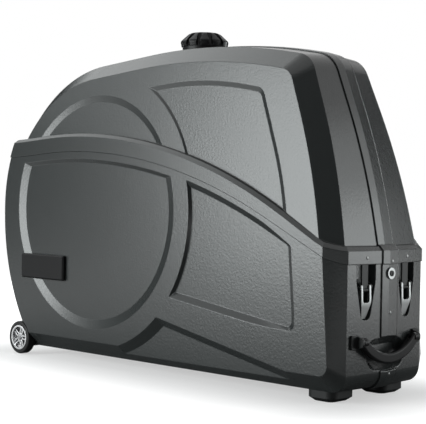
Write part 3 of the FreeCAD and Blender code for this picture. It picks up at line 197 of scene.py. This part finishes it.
def rivet_tree():
    tree = bpy.data.node_groups.new("rivet heads", "GeometryNodeTree")
    for label, kind in (
        ("Points", "Geometry"),
        ("Near Wall", "Object"),
        ("Far Wall", "Object"),
        ("Way In", "Vector"),
        ("Finish", "Material"),
        ("Head Radius", "Float"),
        ("Head Height", "Float"),
    ):
        tree.interface.new_socket(label, in_out="INPUT", socket_type="NodeSocket" + kind)
    tree.interface.new_socket("Heads", in_out="OUTPUT", socket_type="NodeSocketGeometry")
    make, link = tree.nodes.new, tree.links.new
    start, end = make("NodeGroupInput"), make("NodeGroupOutput")
    walls = make("GeometryNodeJoinGeometry")
    for label in ("Near Wall", "Far Wall"):
        wall = make("GeometryNodeObjectInfo")
        wall.transform_space = "RELATIVE"
        link(start.outputs[label], wall.inputs["Object"])
        link(wall.outputs["Geometry"], walls.inputs["Geometry"])
    ray = make("GeometryNodeRaycast")
    ray.inputs["Ray Length"].default_value = RAY_LENGTH
    link(walls.outputs["Geometry"], ray.inputs["Target Geometry"])
    link(start.outputs["Way In"], ray.inputs["Ray Direction"])
    keep = make("GeometryNodeStoreNamedAttribute")
    keep.data_type = "FLOAT_VECTOR"
    keep.inputs["Name"].default_value = "wall normal"
    link(start.outputs["Points"], keep.inputs["Geometry"])
    link(ray.outputs["Hit Normal"], keep.inputs["Value"])
    drop = make("GeometryNodeSetPosition")
    link(keep.outputs["Geometry"], drop.inputs["Geometry"])
    link(ray.outputs["Hit Position"], drop.inputs["Position"])
    normal = make("GeometryNodeInputNamedAttribute")
    normal.data_type = "FLOAT_VECTOR"
    normal.inputs["Name"].default_value = "wall normal"
    turn = make("FunctionNodeAlignRotationToVector")
    turn.axis = "Z"
    link(normal.outputs["Attribute"], turn.inputs["Vector"])
    head = make("GeometryNodeMeshUVSphere")
    head.inputs["Segments"].default_value = HEAD_SEGMENTS
    head.inputs["Rings"].default_value = HEAD_RINGS
    head.inputs["Radius"].default_value = 1.0
    size = make("ShaderNodeCombineXYZ")
    for axis, label in (("X", "Head Radius"), ("Y", "Head Radius"), ("Z", "Head Height")):
        link(start.outputs[label], size.inputs[axis])
    heads = make("GeometryNodeInstanceOnPoints")
    link(drop.outputs["Geometry"], heads.inputs["Points"])
    link(head.outputs["Mesh"], heads.inputs["Instance"])
    link(turn.outputs["Rotation"], heads.inputs["Rotation"])
    link(size.outputs["Vector"], heads.inputs["Scale"])
    real = make("GeometryNodeRealizeInstances")
    link(heads.outputs["Instances"], real.inputs["Geometry"])
    dress = make("GeometryNodeSetMaterial")
    link(real.outputs["Geometry"], dress.inputs["Geometry"])
    link(start.outputs["Finish"], dress.inputs["Material"])
    link(dress.outputs["Geometry"], end.inputs["Heads"])
    return tree


RIVETS = rivet_tree()
print("tree:", RIVETS.name, len(RIVETS.nodes), "nodes")

# %% [markdown]
# The points stand off the end of the case and the tree drops them on its wall. They could stay live in the
# modifier, but a piece that follows a joint has to be a plain mesh. So the result is taken out as one, and
# the heads of both ends are joined.

# %% From points to rivet heads
RIVET_FINISH = finish("blind rivet", (0.26, 0.265, 0.265), rough=0.28, metal=0.8, bump=0.05)
HEAD_RADIUS = 0.0042
HEAD_HEIGHT = 0.0019


def rivet_heads(name, points, way_in, near_wall, far_wall):
    mesh = bpy.data.meshes.new(name + " points")
    mesh.from_pydata(points, [], [])
    source = bpy.data.objects.new(name + " points", mesh)
    bpy.context.scene.collection.objects.link(source)
    modifier = source.modifiers.new("heads", "NODES")
    modifier.node_group = RIVETS
    values = {
        "Near Wall": near_wall,
        "Far Wall": far_wall,
        "Way In": way_in,
        "Finish": RIVET_FINISH,
        "Head Radius": HEAD_RADIUS,
        "Head Height": HEAD_HEIGHT,
    }
    for item in RIVETS.interface.items_tree:
        if item.in_out == "INPUT" and item.name in values:
            modifier[item.identifier] = values[item.name]
    view = bpy.context.evaluated_depsgraph_get()
    made = bpy.data.meshes.new_from_object(source.evaluated_get(view))
    bpy.data.objects.remove(source)
    return made


def joined(name, meshes):
    whole = bmesh.new()
    for mesh in meshes:
        whole.from_mesh(mesh)
    mesh = bpy.data.meshes.new(name)
    whole.to_mesh(mesh)
    whole.free()
    mesh.materials.append(RIVET_FINISH)
    for face in mesh.polygons:
        face.use_smooth = True
    piece = bpy.data.objects.new(name, mesh)
    bpy.context.scene.collection.objects.link(piece)
    return piece


print("head:", 2 * HEAD_RADIUS, "m wide")

# %% [markdown]
# The rows are much the same at both ends: on the flange one rivet over each latch and one in the band, and
# a few more down the band of the lower case. One piece for all of them would be shorter, but the flange
# lifts off with the lid. So the lid and the case have a piece each, which follows its own body.

# %% Rivets of the lid and the case
STAND_OFF = 0.9
LATCH_Y = 0.079
FLANGE_BAND_Y = 0.011
CASE_BAND_Y = 0.008
ENDS = {"handle end": 1.0, "wheel end": -1.0}
FLANGE_HEIGHTS = {"handle end": (0.343, 0.333), "wheel end": (0.604, 0.598)}
BAND_HEIGHTS = {"handle end": (0.210, 0.062), "wheel end": (0.520, 0.400, 0.280)}


def flange_row(end_name):
    over_latch, in_band = FLANGE_HEIGHTS[end_name]
    return [(-LATCH_Y, over_latch), (LATCH_Y, over_latch), (FLANGE_BAND_Y, in_band)]


def band_row(end_name):
    return [(CASE_BAND_Y, height) for height in BAND_HEIGHTS[end_name]]


ROWS = {
    "lid": (flange_row, "lid_shell_near", "lid_shell_far"),
    "case": (band_row, "lower_shell_near", "lower_shell_far"),
}
for body, (row, near_wall, far_wall) in ROWS.items():
    meshes = []
    for end_name, side in ENDS.items():
        points = [(side * STAND_OFF, y, z) for y, z in row(end_name)]
        way_in = (-side, 0.0, 0.0)
        meshes.append(rivet_heads(body + " " + end_name, points, way_in, nodes[near_wall], nodes[far_wall]))
    piece = joined(body + "_rivets", meshes)
    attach(piece, body)
    print(piece.name, len(piece.data.polygons), "faces")

# %% [markdown]
# The photograph's studio can be read from the shell's gloss. A big soft light stands in front and a little to
# the left, and the wide faces mirror its edge, so they pale from left to right. Weaker ones stand beyond the
# left corner and hang over the left, and two stand one above the other past the handle end. The last two
# light the back and the wheel end, which the photograph hardly shows. A bare lamp would be simpler, but
# leaves hard spots on the gloss. The strength is a radiance, so that a light can change its size and still
# look as bright in a reflection.

# %% Soft lights
STUDIO_TINT = (0.95, 1.0, 1.0)
LID_MIDDLE = (0.0, 0.0, 0.6)
CASE_MIDDLE = (0.0, 0.0, 0.5)
HANDLE_END = (0.6, 0.0, 0.4)
WHEEL_END = (-0.6, 0.0, 0.4)
OVER_LEFT = (-1.6, -0.2, 2.5)


def soft_light(name, place, target, width, height, radiance):
    data = bpy.data.lights.new(name, "AREA")
    data.shape = "RECTANGLE"
    data.size = width
    data.size_y = height
    data.energy = radiance * math.pi * width * height
    data.color = STUDIO_TINT
    lamp = bpy.data.objects.new(name, data)
    lamp.location = place
    lamp.rotation_euler = (Vector(target) - Vector(place)).to_track_quat("-Z", "Y").to_euler()
    bpy.context.scene.collection.objects.link(lamp)


def around(azimuth, reach, height):
    """Place at an azimuth counted from the front of the case towards the handle end, in degrees."""
    turn = math.radians(azimuth)
    return (reach * math.sin(turn), -reach * math.cos(turn), height)


SOFT_LIGHTS = {
    "front softbox": dict(
        place=around(-21.5, reach=3.6, height=0.93), target=LID_MIDDLE, width=2.4, height=1.84, radiance=9.0
    ),
    "overhead softbox": dict(place=OVER_LEFT, target=LID_MIDDLE, width=2.0, height=2.4, radiance=1.0),
    "left softbox": dict(
        place=around(-54.0, reach=3.8, height=1.75), target=LID_MIDDLE, width=0.9, height=1.0, radiance=1.4
    ),
    "end softbox": dict(
        place=around(126.0, reach=3.2, height=0.64), target=HANDLE_END, width=1.3, height=1.26, radiance=4.2
    ),
    "high end softbox": dict(
        place=around(126.0, reach=3.2, height=1.72), target=HANDLE_END, width=1.3, height=0.9, radiance=1.7
    ),
    "back softbox": dict(
        place=around(181.0, reach=3.6, height=0.95), target=CASE_MIDDLE, width=1.9, height=1.7, radiance=5.0
    ),
    "wheel end softbox": dict(
        place=around(-106.0, reach=3.2, height=0.5), target=WHEEL_END, width=1.2, height=0.96, radiance=4.0
    ),
}
for name, settings in SOFT_LIGHTS.items():
    soft_light(name, **settings)
print("lights:", len(SOFT_LIGHTS))

# %% [markdown]
# The photograph has a white background. White sheets behind and around the case could make it, but they
# would flood the case with light. So the room is white to the camera and to reflections only, and dim to
# everything else.

# %% Room
ROOM_LIGHT = 0.15
WHITE = 1.0


def maths(tree, operation, first, second):
    step = tree.nodes.new("ShaderNodeMath")
    step.operation = operation
    tree.links.new(first, step.inputs[0])
    tree.links.new(second, step.inputs[1])
    return step.outputs[0]


def ray_kinds(tree):
    """Numbers that are 1 for a camera ray and 1 for a ray in a reflection or through glass."""
    path = tree.nodes.new("ShaderNodeLightPath")
    mirrored = maths(tree, "MAXIMUM", path.outputs["Is Glossy Ray"], path.outputs["Is Transmission Ray"])
    return path.outputs["Is Camera Ray"], mirrored


world = bpy.data.worlds.new("studio")
bpy.context.scene.world = world
world.use_nodes = True
tree = world.node_tree
dim = tree.nodes["Background"]
white = tree.nodes.new("ShaderNodeBackground")
choose = tree.nodes.new("ShaderNodeMixShader")
tree.links.new(maths(tree, "MAXIMUM", *ray_kinds(tree)), choose.inputs["Fac"])
for socket, light, strength in ((1, dim, ROOM_LIGHT), (2, white, WHITE)):
    light.inputs["Color"].default_value = (1.0, 1.0, 1.0, 1.0)
    light.inputs["Strength"].default_value = strength
    tree.links.new(light.outputs[0], choose.inputs[socket])
tree.links.new(choose.outputs[0], tree.nodes["World Output"].inputs["Surface"])
print("room:", world.name)

# %% [markdown]
# Photographers stand dark cards around a glossy thing to shape its reflections. The chamfer at the handle end
# mirrors the right card, the left of the wide faces mirrors the left card, and the far half of the handle end
# mirrors the end card. Darker paint there would be shorter, but wrong from any other side. The right card is
# grey and tall, because the chamfer isn't quite black and shows the card up to its top. The cards don't show
# to the camera and throw no shadow.

# %% Cards for the gloss
CARD_REACH = 5.2
CARD_STEPS = 8
CARDS = {
    "right card": dict(first=12.0, last=92.0, top=7.0, tone=0.2),
    "left card": dict(first=-128.0, last=-48.0, top=3.4, tone=0.005),
    "end card": dict(first=145.0, last=205.0, top=3.4, tone=0.005),
}


def gloss_card(name, first, last, top, tone):
    """Upright curved sheet between two azimuths."""
    paper = bpy.data.materials.new(name)
    paper.use_nodes = True
    shader = paper.node_tree.nodes["Principled BSDF"]
    shader.inputs["Base Color"].default_value = (tone, tone, tone, 1.0)
    shader.inputs["Specular IOR Level"].default_value = 0.0
    spots = [first + (last - first) * step / CARD_STEPS for step in range(CARD_STEPS + 1)]
    points = [around(spot, CARD_REACH, height) for spot in spots for height in (0.0, top)]
    faces = [(2 * step, 2 * step + 1, 2 * step + 3, 2 * step + 2) for step in range(CARD_STEPS)]
    mesh = bpy.data.meshes.new(name)
    mesh.from_pydata(points, [], faces)
    mesh.materials.append(paper)
    sheet = bpy.data.objects.new(name, mesh)
    sheet.visible_camera = False
    sheet.visible_diffuse = False
    sheet.visible_shadow = False
    bpy.context.scene.collection.objects.link(sheet)
    return sheet


for name, sizes in CARDS.items():
    card = gloss_card(name, **sizes)
print("cards:", len(CARDS))

# %% [markdown]
# The floor is a plain pale sheet. A matt white one would need so much light that the case paled too. So the
# sheet glows white to the camera and in reflections. Towards the case the glow weakens as painted shade, and
# there the matt layer also takes the real soft shadow. In reflections the glow weakens over a wider reach and
# the matt layer is darker. This is painted shade under the case, so that its underside and lower walls
# mirror a dark floor.

# %% Floor glow with painted shade
FOOTPRINT = (0.62, 0.15)
ANY_HEIGHT = 10.0
SEEN_TONE = 0.5
MIRRORED_PAINTED_SHADE_TONE = 0.18
SEEN_PAINTED_SHADE_REACH = 0.35
MIRRORED_PAINTED_SHADE_REACH = 1.6
SEEN_GLOW_IN_PAINTED_SHADE = 0.5
MIRRORED_GLOW_IN_PAINTED_SHADE = 0.0
FULL_GLOW = 0.95


def footprint_distance(tree):
    """Way along the floor from the footprint of the case."""
    way = tree.nodes.new("ShaderNodeTexCoord").outputs["Object"]
    for operation, value in (
        ("ABSOLUTE", None),
        ("SUBTRACT", (*FOOTPRINT, ANY_HEIGHT)),
        ("MAXIMUM", (0.0, 0.0, 0.0)),
        ("LENGTH", None),
    ):
        step = tree.nodes.new("ShaderNodeVectorMath")
        step.operation = operation
        tree.links.new(way, step.inputs[0])
        if value:
            step.inputs[1].default_value = value
        way = step.outputs["Value" if operation == "LENGTH" else "Vector"]
    return way


def map_range(tree, value, low, high):
    step = tree.nodes.new("ShaderNodeMapRange")
    step.inputs["To Min"].default_value = low
    step.inputs["To Max"].default_value = high
    tree.links.new(value, step.inputs["Value"])
    return step


def floor_glow_and_painted_shade():
    material = bpy.data.materials.new("pale floor with glow and painted shade")
    material.use_nodes = True
    tree = material.node_tree
    seen, mirrored = ray_kinds(tree)
    matt = tree.nodes["Principled BSDF"]
    matt.inputs["Roughness"].default_value = 1.0
    matt.inputs["Specular IOR Level"].default_value = 0.0
    # painted shade: the matt layer is darker in reflections than to the camera
    tone = map_range(tree, mirrored, SEEN_TONE, MIRRORED_PAINTED_SHADE_TONE)
    tree.links.new(tone.outputs["Result"], matt.inputs["Base Color"])
    distance = footprint_distance(tree)
    shares = []
    for ray, painted_shade_reach, least in ((seen, SEEN_PAINTED_SHADE_REACH, SEEN_GLOW_IN_PAINTED_SHADE), (mirrored, MIRRORED_PAINTED_SHADE_REACH, MIRRORED_GLOW_IN_PAINTED_SHADE)):
        # painted shade: the glow is weaker near the case and least at its footprint
        glow_out_of_painted_shade = map_range(tree, distance, least, FULL_GLOW)
        glow_out_of_painted_shade.interpolation_type = "SMOOTHSTEP"
        glow_out_of_painted_shade.inputs["From Max"].default_value = painted_shade_reach
        shares.append(maths(tree, "MULTIPLY", ray, glow_out_of_painted_shade.outputs["Result"]))
    glow = tree.nodes.new("ShaderNodeEmission")
    tree.links.new(maths(tree, "ADD", *shares), glow.inputs["Strength"])
    both = tree.nodes.new("ShaderNodeAddShader")
    tree.links.new(matt.outputs[0], both.inputs[0])
    tree.links.new(glow.outputs[0], both.inputs[1])
    tree.links.new(both.outputs[0], tree.nodes["Material Output"].inputs["Surface"])
    return material


FLOOR_GLOW_AND_PAINTED_SHADE = floor_glow_and_painted_shade()
print("finish:", FLOOR_GLOW_AND_PAINTED_SHADE.name)

# %% Floor sheet
FLOOR_REACH = 14.0
FLOOR_LEVEL = -0.0005
corners = [(-FLOOR_REACH, -FLOOR_REACH), (FLOOR_REACH, -FLOOR_REACH)]
corners += [(FLOOR_REACH, FLOOR_REACH), (-FLOOR_REACH, FLOOR_REACH)]
mesh = bpy.data.meshes.new("floor")
mesh.from_pydata([(x, y, FLOOR_LEVEL) for x, y in corners], [], [(0, 1, 2, 3)])
mesh.materials.append(FLOOR_GLOW_AND_PAINTED_SHADE)
floor = bpy.data.objects.new("floor", mesh)
bpy.context.scene.collection.objects.link(floor)
print("floor:", 2 * FLOOR_REACH, "m")

# %% [markdown]
# The camera stands where the photograph was taken from: low, at the corner between the wide face and the
# handle end. It could be set by eye. Its place and lens come from lining up the case's outline with the
# picture by a least squares fit instead, which gives a long lens about three and a half metres away.

# %% Camera at the photograph's angle
LENS_PIXELS = 1249.2
IMAGE_WIDTH = 426.0
SENSOR = 36.0
CAMERA_PLACE = (2.45175, -2.41995, 0.50748)
AZIMUTH = math.radians(44.543)
ELEVATION = math.radians(1.217)
ROLL = math.radians(0.883)
flat = math.cos(ELEVATION)
back = Vector((math.sin(AZIMUTH) * flat, -math.cos(AZIMUTH) * flat, math.sin(ELEVATION)))
level = Vector((math.cos(AZIMUTH), math.sin(AZIMUTH), 0.0))
upright = back.cross(level)
right = level * math.cos(ROLL) + upright * math.sin(ROLL)
up = upright * math.cos(ROLL) - level * math.sin(ROLL)
data = bpy.data.cameras.new("camera")
data.sensor_width = SENSOR
data.lens = LENS_PIXELS * SENSOR / IMAGE_WIDTH
camera = bpy.data.objects.new("camera", data)
turn = Matrix((right, up, back)).transposed()
camera.matrix_world = Matrix.Translation(CAMERA_PLACE) @ turn.to_4x4()
bpy.context.scene.collection.objects.link(camera)
bpy.context.scene.camera = camera
bpy.context.scene.view_settings.view_transform = "Standard"
print("lens:", round(data.lens, 1), "mm")
